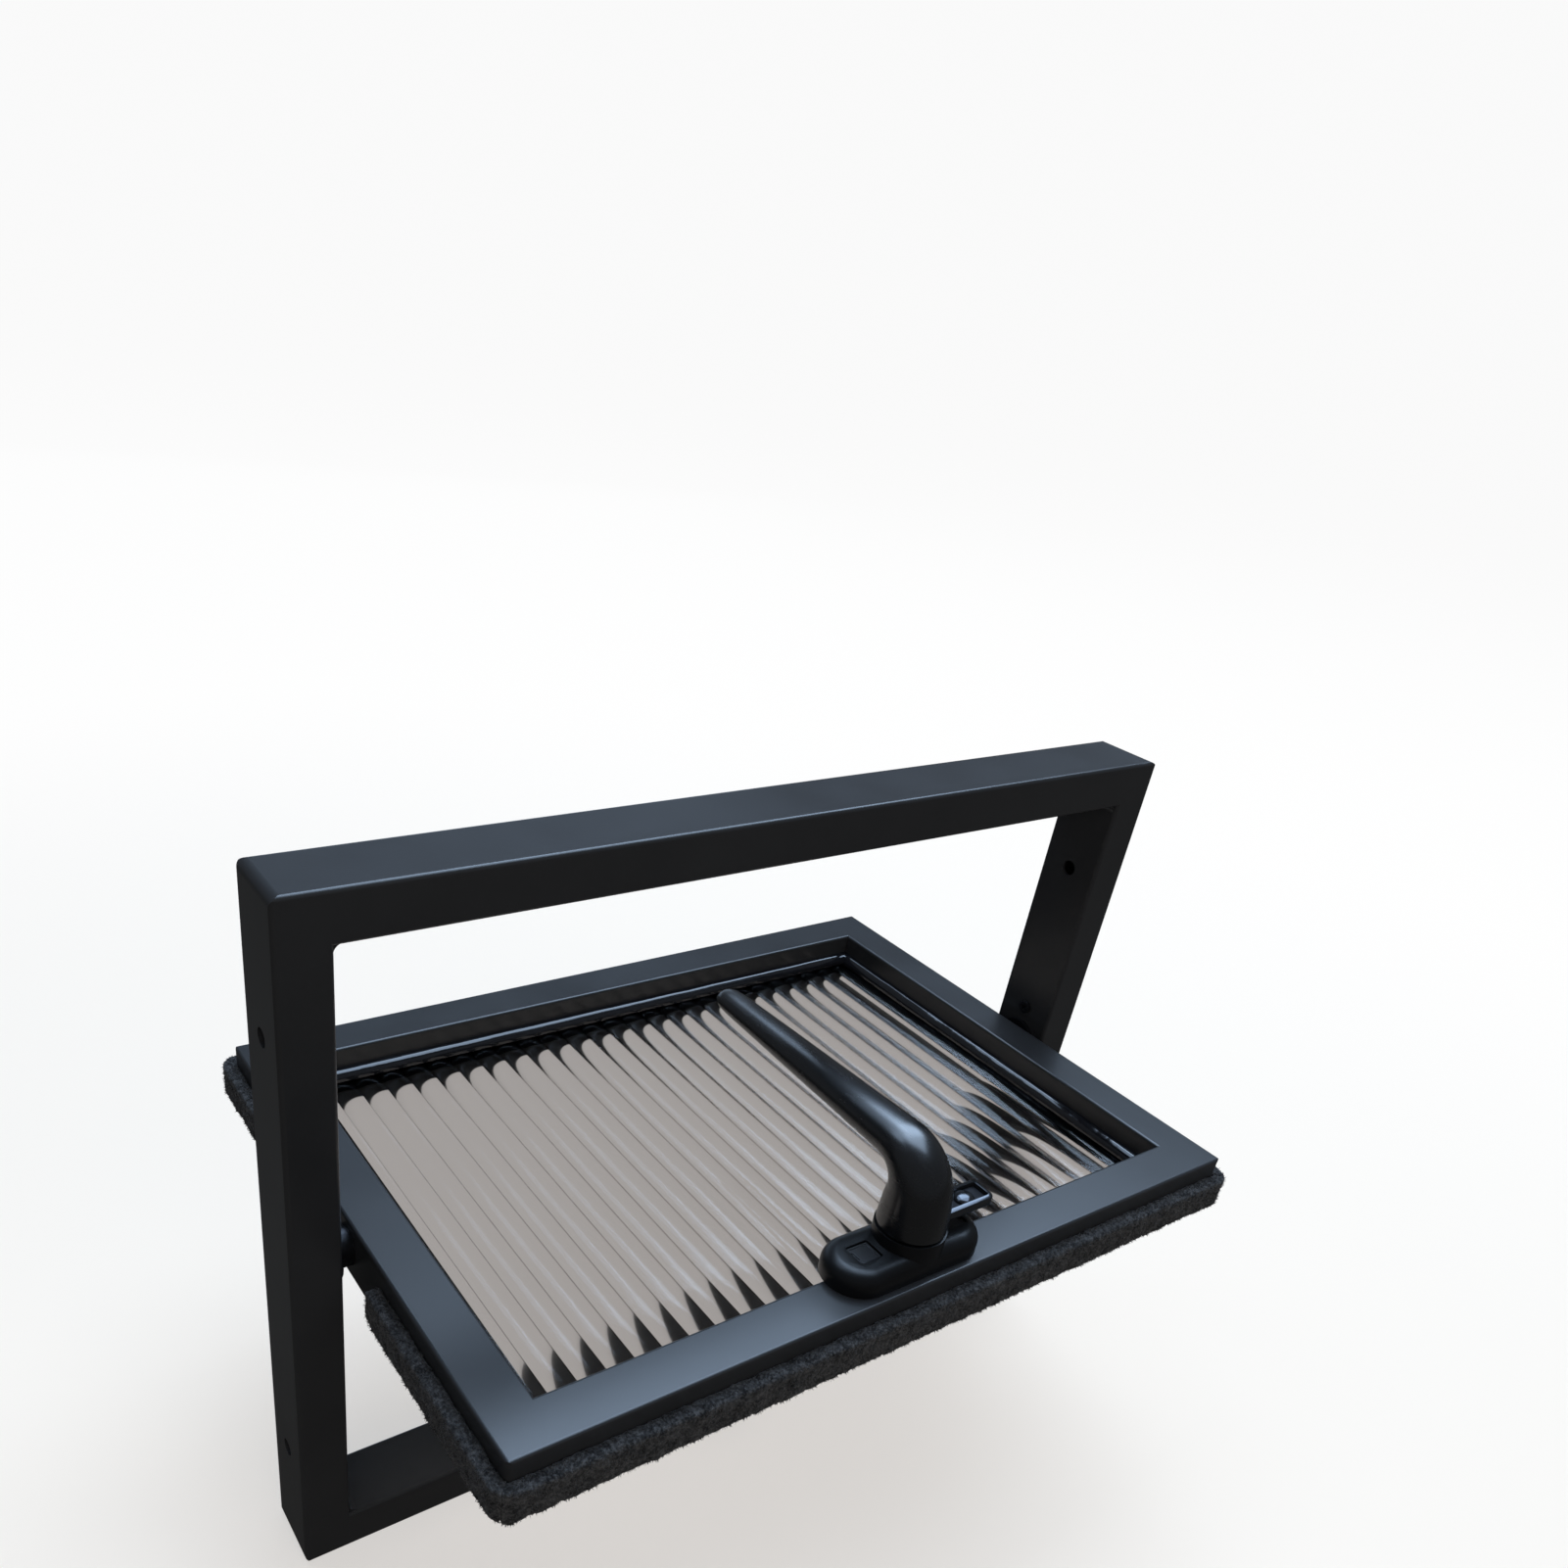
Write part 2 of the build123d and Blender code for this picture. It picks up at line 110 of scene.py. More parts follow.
# Lever: shares run from the end of the bend to the tip, and the ring past TIP_START closes the tip
LEVER_SIDES = 16
LEVER_FOOT = 14.9 * MM
FOOT_EASE = 0.5 * MM
FOOT_HEIGHT = 2 * MM
NECK_RADIUS = 13.5 * MM
WAIST_RADIUS = 12.8 * MM
BEND_RADIUS = 15.5 * MM
BEND_STEPS = 6
LEVER_HEIGHT = 44 * MM
LEVER_REACH = 127 * MM
LEVER_HALF_WIDTH = 10.5 * MM
LEVER_HALF_THICKNESS = 7.8 * MM
TIP_HALF_WIDTH = 6.4 * MM
TIP_HALF_THICKNESS = 4.6 * MM
LEVER_SHARES = (0.04, 0.1, 0.2, 0.35, 0.52, 0.7, 0.85, 0.95, 0.99)
TAPER_END = 0.95
TIP_START = 0.97
TIP_CLOSE = 0.62

# Spur: depths are measured down from its top
SPUR_HIDDEN = 3 * MM
SPUR_SLOPE = 0.6 * MM
SPUR_RIM = 2 * MM
SPUR_DEPTH = 2.4 * MM
SPUR_CORNER = 3 * MM
WELL_INSET = 2.05 * MM
WELL_UNDER = 2.45 * MM
WELL_TOP = 1.9 * MM
WELL_RIM = 1.2 * MM
WELL_DISH = 0.35 * MM
RIVET_OFFSET = NECK_RADIUS + 13 * MM
RIVET_RADIUS = 4.4 * MM
RIVET_SEAT = 2.2 * MM
RIVET_FLATTEN = 0.48

# Satin powder coat on the frame and the sash
COAT_DARK = (0.015, 0.0152, 0.016, 1)
COAT_PALE = (0.028, 0.0285, 0.030, 1)
COAT_ROUGHNESS = 0.3
COAT_SHEEN = 0.5

# Share of the glass that gives glare
GLASS_GLARE = 0.4

# Floor and surroundings: the floor's tone as light and as the camera sees it, how far out its shadow
# fades, and the share of plain white that is seen directly, through the glass and in gloss
FLOOR_PAINT = (0.035, 0.03, 0.025, 1)
FLOOR_SHADE = (0.94, 0.77, 0.605, 1)
FLOOR_WHITE = 0.95
SHADOW_SHARE = 0.42
SHADOW_REACH = (0.45, 1.1)
WHITE_IN_GLASS = 0.43
WHITE_IN_GLOSS = 0.04
WORLD_WHITE = 0.953
WORLD_TINT = (0.75, 0.86, 1.0, 1)
WORLD_LEVEL = 0.09

# Lamps
WINDOW_MIDDLE = Vector((0, 0, 0.15))
PANEL_TINT = (0.57, 0.75, 1.0)
FILL_TINT = (1.0, 0.97, 0.94)

# Screws
PLATE_SCREW_OFFSET = 19.5 * MM
KEEPER_SCREW_OFFSET = 24 * MM
KEEPER_FOOT = 2.5 * MM
SCREW_RADIUS = 3.2 * MM
SCREW_HEIGHT = 1.3 * MM
SCREW_CROWN_INSET = 0.9 * MM
SCREW_CROWN_RISE = 0.25 * MM
CROSS_LENGTH = 2.9 * MM
CROSS_WIDTH = 0.6 * MM
CROSS_FLOOR = 0.5 * MM
CROSS_TOP = 3 * MM
SCREW_TURN_SEED = 7


# Modelling helpers


def clear_selection():
    """Object mode with nothing selected."""
    if bpy.context.mode != "OBJECT":
        bpy.ops.object.mode_set(mode="OBJECT")
    bpy.ops.object.select_all(action="DESELECT")


def take(piece):
    """Makes one object the only one that operators act on."""
    clear_selection()
    piece.select_set(True)
    bpy.context.view_layer.objects.active = piece
    return piece


def named(name):
    """Names the primitive that was just added, with its place and size put into its mesh."""
    piece = bpy.context.active_object
    piece.name = name
    piece.data.name = name
    bpy.ops.object.transform_apply(location=True, rotation=True, scale=True)
    return piece


def choose(piece, points=None, edges=None, faces=None):
    """Enters edit mode with the points, edges or faces selected that the test picks."""
    take(piece)
    mesh = piece.data
    for group in (mesh.vertices, mesh.edges, mesh.polygons):
        group.foreach_set("select", [False] * len(group))
    if points:
        for point in mesh.vertices:
            point.select = points(point.co)
    if edges:
        for edge in mesh.edges:
            start, end = (mesh.vertices[index].co for index in edge.vertices)
            edge.select = edges(start, end)
    if faces:
        for face in mesh.polygons:
            face.select = faces(face.center, face.normal)
    bpy.context.tool_settings.mesh_select_mode = (bool(points), bool(edges), bool(faces))
    bpy.ops.object.mode_set(mode="EDIT")


def choose_all(piece, faces=False):
    """Enters edit mode with the whole mesh selected, by points or by faces."""
    take(piece)
    bpy.context.tool_settings.mesh_select_mode = (True, False, False)
    bpy.ops.object.mode_set(mode="EDIT")
    bpy.ops.mesh.select_all(action="SELECT")
    if faces:
        bpy.context.tool_settings.mesh_select_mode = (False, False, True)


def pull(move):
    """Extrudes what is selected by a move."""
    bpy.ops.mesh.extrude_region_move(TRANSFORM_OT_translate={"value": move})


def modify(piece, kind, **settings):
    """Adds a modifier, sets it and applies it."""
    take(piece)
    modifier = piece.modifiers.new(kind.lower(), kind)
    for name, value in settings.items():
        setattr(modifier, name, value)
    bpy.ops.object.modifier_apply(modifier=modifier.name)


def ease_edges(piece, width, segments, angle=40):
    """Rounds every edge that is sharper than an angle."""
    limit = math.radians(angle)
    modify(piece, "BEVEL", width=width, segments=segments, limit_method="ANGLE", angle_limit=limit)


def cut_or_join(piece, tool, operation):
    """Boolean of two pieces; the tool is used up."""
    modify(piece, "BOOLEAN", object=tool, operation=operation, solver="EXACT")
    bpy.data.objects.remove(tool)


def block(name, low, high):
    """A block between two corners, to be shaped further."""
    clear_selection()
    low, high = Vector(low), Vector(high)
    bpy.ops.mesh.primitive_cube_add(size=1, location=(low + high) / 2, scale=high - low)
    return named(name)


def close_up(piece):
    """Merges doubles and turns every face outwards."""
    choose_all(piece)
    bpy.ops.mesh.remove_doubles(threshold=MERGE)
    bpy.ops.mesh.normals_make_consistent(inside=False)
    bpy.ops.object.mode_set(mode="OBJECT")


def hand_over(piece, body, slot, finish, stands_for=(), smooth=32):
    """Shades a finished piece, gives it its finish and fixes it to its body."""
    take(piece)
    bpy.ops.object.shade_smooth_by_angle(angle=math.radians(smooth))
    piece.data.materials.clear()
    piece.data.materials.append(finish)
    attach(piece, body)
    if stands_for:
        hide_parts(*stands_for)
    return piece


def copy_of(piece, name):
    """A copy with a mesh of its own."""
    twin = piece.copy()
    twin.data = piece.data.copy()
    twin.name = name
    twin.data.name = name
    bpy.context.scene.collection.objects.link(twin)
    return twin


# Finishes


class Wire:
    """A socket in a node tree. Maths between wires and numbers adds Math nodes."""

    def __init__(self, tree, socket=None):
        self.tree = tree
        self.socket = socket

    def node(self, kind, settings=None, inputs=None, output=0):
        """Adds a node: its settings first, then its sockets' values or links."""
        made = self.tree.nodes.new(kind)
        for name, value in (settings or {}).items():
            setattr(made, name, value)
        for name, value in (inputs or {}).items():
            if isinstance(value, Wire):
                self.tree.links.new(value.socket, made.inputs[name])
            else:
                made.inputs[name].default_value = value
        return Wire(self.tree, made.outputs[output] if made.outputs else None)

    def math(self, operation, *terms):
        return self.node("ShaderNodeMath", {"operation": operation}, dict(enumerate(terms)))

    def __add__(self, other):
        return self.math("ADD", self, other)

    def __sub__(self, other):
        return self.math("SUBTRACT", self, other)

    def __rsub__(self, other):
        return self.math("SUBTRACT", other, self)

    def __mul__(self, other):
        return self.math("MULTIPLY", self, other)

    __radd__ = __add__
    __rmul__ = __mul__


def tree_of(owner):
    """The emptied node tree of a material or world, as a wire to start from."""
    owner.use_nodes = True
    owner.node_tree.nodes.clear()
    return Wire(owner.node_tree)


def new_finish(name):
    """A new material and its empty node tree."""
    finish = bpy.data.materials.new(name)
    return finish, tree_of(finish)


def object_place(tree, stretch=(1, 1, 1)):
    """Object coordinates, stretched along an axis where a pattern runs."""
    place = tree.node("ShaderNodeTexCoord", output="Object")
    if stretch == (1, 1, 1):
        return place
    return tree.node("ShaderNodeMapping", None, {"Vector": place, "Scale": stretch})


def noise(tree, place, scale, detail=2):
    """Soft noise from 0 to 1, scale in cells per metre."""
    sockets = {"Vector": place, "Scale": scale, "Detail": detail}
    return tree.node("ShaderNodeTexNoise", None, sockets)


def blend(tree, share, first, second):
    """Colour between two colours."""
    sockets = {0: share, 6: first, 7: second}
    return tree.node("ShaderNodeMix", {"data_type": "RGBA"}, sockets, output=2)


def masked(tree, value, low, high):
    """0 below low, 1 above high, smooth between."""
    return tree.node(
        "ShaderNodeMapRange",
        {"interpolation_type": "SMOOTHSTEP"},
        {"Value": value, "From Min": low, "From Max": high},
    )


def bumped(tree, height, depth, strength):
    """Normal of a surface with a height pattern."""
    sockets = {"Height": height, "Distance": depth, "Strength": strength}
    return tree.node("ShaderNodeBump", None, sockets)


def surfaced(tree, sockets):
    """Closes a tree with a Principled shader."""
    shader = tree.node("ShaderNodeBsdfPrincipled", None, sockets)
    tree.node("ShaderNodeOutputMaterial", None, {"Surface": shader})


def powder_coat(name):
    """Satin powder coat: fine orange peel, faint cloudy gloss and a dusting of specks."""
    finish, tree = new_finish(name)
    place = object_place(tree)
    cloud = noise(tree, place, 26, 3)
    peel = noise(tree, place, 900, 2)
    specks = masked(tree, noise(tree, place, 1500, 1), 0.69, 0.76)
    colour = blend(tree, cloud * 0.6 + specks * 0.35, COAT_DARK, COAT_PALE)
    surfaced(tree, {
        "Base Color": colour,
        "Roughness": COAT_ROUGHNESS - 0.05 + cloud * 0.1,
        "Normal": bumped(tree, peel, 0.00006, 0.15),
        "Specular IOR Level": COAT_SHEEN,
    })
    return finish


def smooth_enamel(name, roughness, sheen):
    """Satin enamel on a casting: nearly even, with faint handling marks in its gloss."""
    finish, tree = new_finish(name)
    place = object_place(tree)
    cloud = noise(tree, place, 60, 3)
    marks = masked(tree, noise(tree, object_place(tree, (1, 0.25, 1)), 240, 4), 0.5, 0.75)
    surfaced(tree, {
        "Base Color": blend(tree, cloud, (0.0016, 0.0016, 0.0018, 1), (0.0035, 0.0035, 0.004, 1)),
        "Roughness": roughness + cloud * 0.05 + marks * 0.05,
        "Normal": bumped(tree, noise(tree, place, 420, 2), 0.00004, 0.2),
        "Specular IOR Level": sheen,
    })
    return finish


def moulded_plastic(name):
    """Black moulded caps with a fine spark-eroded grain."""
    finish, tree = new_finish(name)
    place = object_place(tree)
    grain = noise(tree, place, 2600, 2)
    surfaced(tree, {
        "Base Color": blend(tree, grain, (0.007, 0.007, 0.008, 1), (0.014, 0.014, 0.015, 1)),
        "Roughness": 0.38 + grain * 0.14,
        "Normal": bumped(tree, grain, 0.00005, 0.4),
    })
    return finish


def dark_metal(name, dark, pale, roughness, stretch):
    """Blackened steel with a drawn grain."""
    finish, tree = new_finish(name)
    grain = noise(tree, object_place(tree, stretch), 900, 3)
    cloud = noise(tree, object_place(tree), 120, 2)
    surfaced(tree, {
        "Base Color": blend(tree, grain * 0.6 + cloud * 0.4, dark, pale),
        "Roughness": roughness - 0.06 + grain * 0.12,
        "Metallic": 0.9,
        "Normal": bumped(tree, grain, 0.00003, 0.3),
    })
    return finish


def black_silicone(name):
    """Glossy tooled sealant with slow ripples."""
    finish, tree = new_finish(name)
    place = object_place(tree)
    ripple = noise(tree, place, 210, 2)
    surfaced(tree, {
        "Base Color": blend(tree, ripple, (0.004, 0.004, 0.005, 1), (0.01, 0.01, 0.012, 1)),
        "Roughness": 0.06 + ripple * 0.08,
        "Normal": bumped(tree, ripple, 0.0005, 0.15),
        "Specular IOR Level": 0.8,
    })
    return finish


def brush_pile(name):
    """Grey-black nylon pile, speckled from fibre to fibre."""
    finish, tree = new_finish(name)
    place = object_place(tree)
    fleck = noise(tree, place, 1000, 4)
    patch = masked(tree, noise(tree, place, 320, 3), 0.35, 0.68)
    pale = masked(tree, fleck, 0.4, 0.68) * 0.6 + patch * 0.4
    surfaced(tree, {
        "Base Color": blend(tree, pale, (0.006, 0.006, 0.0065, 1), (0.072, 0.0705, 0.0705, 1)),
        "Roughness": 0.85 + fleck * 0.1,
        "Normal": bumped(tree, fleck, 0.0004, 0.6),
        "Sheen Weight": 0.15,
        "Sheen Roughness": 0.5,
        "Specular IOR Level": 0.1,
    })
    return finish


def reeded_glass(name):
    """Clear rolled glass, warm in cast, with a faint roller ripple and only part of a full glare."""
    finish, tree = new_finish(name)
    ripple = noise(tree, object_place(tree, (1, 0.15, 1)), 120, 2)
    dust = masked(tree, noise(tree, object_place(tree), 700, 3), 0.62, 0.8)
    looks = {"Normal": bumped(tree, ripple, 0.0001, 0.012), "IOR": 1.52}
    bending = tree.node("ShaderNodeBsdfRefraction", None, {
        "Color": (0.84, 0.808, 0.788, 1),
        "Roughness": 0.03 + dust * 0.03,
        **looks,
    })
    sheet = tree.node("ShaderNodeBsdfPrincipled", None, {
        "Base Color": blend(tree, ripple, (0.82, 0.79, 0.77, 1), (0.86, 0.825, 0.805, 1)),
        "Roughness": 0.11 + dust * 0.04,
        "Transmission Weight": 1.0,
        **looks,
    })
    both = tree.node("ShaderNodeMixShader", None, {0: GLASS_GLARE, 1: bending, 2: sheet})
    tree.node("ShaderNodeOutputMaterial", None, {"Surface": both})
    return finish


frame_coat = powder_coat("frame_coat")
sash_coat = powder_coat("sash_coat")
pivot_metal = dark_metal(
    "pivot_metal", (0.02, 0.02, 0.022, 1), (0.05, 0.05, 0.055, 1), roughness=0.4, stretch=(1, 1, 0.2)
)
spur_metal = dark_metal(
    "spur_metal", (0.06, 0.064, 0.072, 1), (0.085, 0.09, 0.1, 1), roughness=0.17, stretch=(0.3, 1, 1)
)
# The well's darker colours are painted shade inside the spur's recess
spur_shaded_well = dark_metal(
    "spur_shaded_well", (0.006, 0.006, 0.007, 1), (0.014, 0.014, 0.016, 1), roughness=0.5, stretch=(0.3, 1, 1)
)
handle_coat = smooth_enamel("handle_coat", roughness=0.24, sheen=1.0)
base_coat = smooth_enamel("base_coat", roughness=0.34, sheen=0.38)
handle_plastic = moulded_plastic("handle_plastic")
sealant = black_silicone("sealant")
pile = brush_pile("pile")
glass = reeded_glass("reeded_glass")

NODE_FINISHES = {
    "frame": frame_coat,
    "sash": sash_coat,
    "glazing_bead": sash_coat,
    "pivot": pivot_metal,
    "keeper": handle_coat,
    "handle": handle_coat,
    "pile": pile,
    "glass": glass,
}
for node_name, node in nodes.items():
    for start, finish in NODE_FINISHES.items():
        if node_name.startswith(start):
            node.data.materials.clear()
            node.data.materials.append(finish)


# Reeded glass and its sealant


def reeded_pane():
    """One convex flute drawn from rail to rail, repeated across and given its flat back."""
    low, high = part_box("glass_pane")
    pitch = (high.x - low.x) / FLUTES
    valley = high.z - FLUTE_DEPTH
    radius = (pitch * pitch / 4 + FLUTE_DEPTH * FLUTE_DEPTH) / (2 * FLUTE_DEPTH)
    clear_selection()
    bpy.ops.mesh.primitive_circle_add(
        vertices=FLUTE_POINTS,
        radius=radius,
        location=(low.x + pitch / 2, low.y, high.z - radius),
        rotation=(math.pi / 2, 0, 0),
    )
    pane = named("glass_sheet")
    choose_all(pane)
    bpy.ops.mesh.bisect(plane_co=(0, 0, valley), plane_no=(0, 0, 1), clear_inner=True)
    bpy.ops.mesh.select_all(action="SELECT")
    pull((0, high.y - low.y, 0))
    bpy.ops.object.mode_set(mode="OBJECT")
    modify(
        pane, "ARRAY", count=FLUTES, use_relative_offset=False, use_constant_offset=True,
        constant_offset_displace=(pitch, 0, 0), use_merge_vertices=True, merge_threshold=1e-6,
    )
    inner = (high.x - low.x) / 2 - NEAR

    def is_valley(start, end):
        """An edge along a valley, not at the pane's sides."""
        deep = all(abs(p.z - valley) < NEAR and abs(p.x) < inner for p in (start, end))
        return deep and abs(start.x - end.x) < NEAR

    choose(pane, edges=is_valley)
    bpy.ops.mesh.bevel(offset=VALLEY_EASE, segments=4, affect="EDGES")
    choose_all(pane)
    pull((0, 0, low.z - high.z))
    bpy.ops.transform.resize(value=(1, 1, 0), center_override=(0, 0, low.z))
    close_up(pane)
    return hand_over(pane, "sash", "reeded_glass", glass, ["glass_pane"], smooth=40)


def sealant_bead():
    """A tooled bead round the glass, its face a little uneven along its length."""
    low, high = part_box("glazing_sealant")
    clear_selection()
    bpy.ops.mesh.primitive_plane_add(size=1, location=(0, 0, low.z))
    bpy.context.active_object.scale = (high.x - low.x, high.y - low.y, 1)
    bead = named("sealant_bead")
    choose_all(bead, faces=True)
    bpy.ops.mesh.inset(thickness=SEALANT_WIDTH)
    bpy.ops.mesh.delete(type="FACE")
    bpy.ops.mesh.select_all(action="SELECT")
    pull((0, 0, high.z - low.z))
    inside_x = high.x - SEALANT_WIDTH / 2
    inside_y = high.y - SEALANT_WIDTH / 2

    def is_inner_top(start, end):
        """An edge of the top that lies next to the glass."""
        return all(
            abs(p.z - high.z) < NEAR and abs(p.x) < inside_x and abs(p.y) < inside_y
            for p in (start, end)
        )

    choose(bead, edges=is_inner_top)
    bpy.ops.mesh.bevel(offset=SEALANT_ROUND, segments=8, profile=SEALANT_PROFILE, affect="EDGES")
    choose(bead, edges=lambda start, end: (start - end).length > SEALANT_LONG_EDGE)
    bpy.ops.mesh.subdivide(number_cuts=SEALANT_CUTS)
    close_up(bead)
    wave = bpy.data.textures.new("bead_wave", "CLOUDS")
    wave.noise_scale = SEALANT_WAVE_SCALE
    edge = high - Vector((NEAR, NEAR, 0))
    free = [
        point.index for point in bead.data.vertices
        if abs(point.co.x) < edge.x and abs(point.co.y) < edge.y and point.co.z > low.z + NEAR
    ]
    bead.vertex_groups.new(name="face").add(free, 1.0, "REPLACE")
    modify(
        bead, "DISPLACE", texture=wave, strength=SEALANT_WAVE, mid_level=0.6, vertex_group="face",
    )
    return hand_over(bead, "sash", "sealant", sealant, ["glazing_sealant"], smooth=50)


# Pile strips


def tuft_points(mesh, count, rng):
    """Places and normals spread evenly over a mesh's faces."""
    faces = list(mesh.polygons)
    totals = []
    total = 0.0
    for face in faces:
        total += face.area
        totals.append(total)
    spots = rng.choices(range(len(faces)), cum_weights=totals, k=count)
    for index in spots:
        face = faces[index]
        corners = [mesh.vertices[i].co for i in face.vertices]
        first, second = sorted((rng.random(), rng.random()))
        place = corners[0] * first + corners[1] * (second - first) + corners[2] * (1 - second)
        yield place, face.normal


def tufted(mesh, rng, inside):
    """Adds short three-sided fibres that stand out from the mesh at odd angles."""
    area = sum(face.area for face in mesh.polygons) / (MM * MM)
    points = [tuple(point.co) for point in mesh.vertices]
    faces = [tuple(face.vertices) for face in mesh.polygons]
    for place, normal in tuft_points(mesh, int(area * PILE_TUFTS_PER_MM2), rng):
        if inside(place):
            continue
        lean = Vector([rng.gauss(0, PILE_TUFT_LEAN) for axis in range(3)])
        along = (normal + lean).normalized()
        side = along.orthogonal().normalized()
        radius = PILE_TUFT_RADIUS * rng.uniform(0.6, 1.3)
        length = PILE_TUFT_LENGTH * rng.uniform(0.35, 1.0)
        start = len(points)
        for turn in (0, 120, 240):
            spoke = Quaternion(along, math.radians(turn)) @ side
            points.append(tuple(place - along * PILE_TUFT_ROOT + spoke * radius))
        points.append(tuple(place + along * length))
        for corners in ((0, 1, 3), (1, 2, 3), (2, 0, 3), (0, 2, 1)):
            faces.append(tuple(start + corner for corner in corners))
    mesh.clear_geometry()
    mesh.from_pydata(points, [], faces)
    mesh.update()


def pile_strip(node_name, seed):
    """A length of brush pile: the strip's outline roughened into lumps and set with fibres."""
    strip = copy_of(nodes[node_name], node_name + "_brush")
    strip.parent = None
    for key in list(strip.keys()):
        del strip[key]
    close_up(strip)
    modify(strip, "REMESH", mode="VOXEL", voxel_size=PILE_VOXEL)
    for scale, height in PILE_LUMPS:
        lumps = bpy.data.textures.new("pile_lumps", "CLOUDS")
        lumps.noise_scale = scale
        modify(
            strip, "DISPLACE", texture=lumps, strength=height, mid_level=0.55, texture_coords="LOCAL",
        )
    modify(strip, "TRIANGULATE")
    wall_x = SASH_HALF_WIDTH + PILE_FOOT
    wall_y = SASH_HALF_HEIGHT + PILE_FOOT
    rng = random.Random(seed)
    tufted(strip.data, rng, lambda place: abs(place.x) < wall_x and abs(place.y) < wall_y)
    take(strip)
    bpy.ops.object.shade_smooth()
    strip.data.materials.clear()
    strip.data.materials.append(pile)
    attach(strip, "sash")
    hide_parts(node_name)
    return strip


# Handle


def stadium(name, length, width, centre, points=96):
    """A flat stadium outline with a face, from a circle drawn out along X."""
    clear_selection()
    bpy.ops.mesh.primitive_circle_add(
        vertices=points, radius=width / 2, location=centre, fill_type="NGON"
    )
    outline = named(name)
    half = (length - width) / 2
    for sign in (-1, 1):
        choose(outline, points=lambda p: sign * (p.x - centre[0]) > NEAR)
        bpy.ops.transform.translate(value=(sign * half, 0, 0))
    bpy.ops.object.mode_set(mode="OBJECT")
    return outline


def handle_base():
    """Crowned stadium with a round boss and two pockets for the screw covers."""
    foot = SPINDLE + Vector((BASE_OFFSET, 0, 0))
    base = stadium("handle_rose", BASE_LENGTH, BASE_WIDTH, foot)
    choose_all(base, faces=True)
    pull((0, 0, BASE_RIM))
    rise = BASE_HEIGHT - BASE_RIM
    for step in range(BASE_CROWN_STEPS):
        start, end = (math.radians(90 * (step + extra) / BASE_CROWN_STEPS) for extra in (0, 1))
        inset = BASE_CROWN_INSET * (math.cos(start) - math.cos(end))
        climb = rise * (math.sin(end) - math.sin(start))
        bpy.ops.mesh.inset(thickness=inset, depth=climb)
    close_up(base)
    clear_selection()
    bpy.ops.mesh.primitive_cylinder_add(
        vertices=64, radius=BOSS_RADIUS, depth=BOSS_HEIGHT - BOSS_START,
        location=SPINDLE + Vector((0, 0, (BOSS_HEIGHT + BOSS_START) / 2)),
    )
    boss = named("boss")
    cut_or_join(base, boss, "UNION")
    for name in ("handle_screw_cover_left", "handle_screw_cover_right"):
        low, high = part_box(name)
        top = Vector((high.x, high.y, POCKET_TOP))
        pocket = block("pocket", low - POCKET_ROOM, top + POCKET_ROOM)
        choose(pocket, edges=lambda start, end: abs(start.z - end.z) > MM)
        bpy.ops.mesh.bevel(offset=POCKET_ROUND, segments=4, affect="EDGES")
        bpy.ops.object.mode_set(mode="OBJECT")
        cut_or_join(base, pocket, "DIFFERENCE")
    ease_edges(base, 0.35 * MM, 3)
    close_up(base)
    return hand_over(base, "sash", "handle_coat", base_coat, ["handle_base"], smooth=35)


def screw_cover(node_name):
    """Snap-in cap, a little dished, with a notch at its outer end for levering it out."""
    low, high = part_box(node_name)
    cap = block(node_name + "_cap", low, high)
    choose(cap, faces=lambda centre, normal: normal.z > 0.9)
    bpy.ops.mesh.inset(thickness=CAP_RIM)
    pull((0, 0, -CAP_DISH))
    bpy.ops.object.mode_set(mode="OBJECT")
    outward = 1 if low.x > 0 else -1
    end_x = high.x if outward > 0 else low.x
    middle_y = (low.y + high.y) / 2
    near_x, far_x = sorted((end_x - outward * NOTCH_LENGTH, end_x + outward * MM))
    notch = block(
        "notch",
        (near_x, middle_y - NOTCH_HALF_WIDTH, high.z - NOTCH_DEPTH),
        (far_x, middle_y + NOTCH_HALF_WIDTH, high.z + MM),
    )
    cut_or_join(cap, notch, "DIFFERENCE")
    ease_edges(cap, 0.2 * MM, 2)
    close_up(cap)
    return hand_over(cap, "sash", "handle_plastic", handle_plastic, [node_name], smooth=20)


def lever_stations():
    """Centre, tilt and half sizes of the lever's section from its foot to its tip."""
    rows = [
        (0, LEVER_FOOT, 0, NECK_RADIUS - FOOT_EASE, NECK_RADIUS - FOOT_EASE),
        (0, LEVER_FOOT + FOOT_EASE, 0, NECK_RADIUS, NECK_RADIUS),
        (0, LEVER_FOOT + FOOT_HEIGHT, 0, NECK_RADIUS, NECK_RADIUS),
    ]
    for step in range(BEND_STEPS + 1):
        share = step / BEND_STEPS
        turn = math.radians(90 * share)
        rows.append((
            BEND_RADIUS * (1 - math.cos(turn)),
            LEVER_HEIGHT - BEND_RADIUS * (1 - math.sin(turn)),
            90 * share,
            WAIST_RADIUS + (LEVER_HALF_WIDTH - WAIST_RADIUS) * share,
            WAIST_RADIUS + (LEVER_HALF_THICKNESS - WAIST_RADIUS) * share,
        ))
    for share in LEVER_SHARES:
        along = BEND_RADIUS + (LEVER_REACH - BEND_RADIUS) * share
        taper = min(share / TAPER_END, 1)
        close = 1 if share < TIP_START else TIP_CLOSE
        rows.append((
            along, LEVER_HEIGHT, 90,
            close * (LEVER_HALF_WIDTH + (TIP_HALF_WIDTH - LEVER_HALF_WIDTH) * taper),
            close * (LEVER_HALF_THICKNESS + (TIP_HALF_THICKNESS - LEVER_HALF_THICKNESS) * taper),
        ))
    return rows


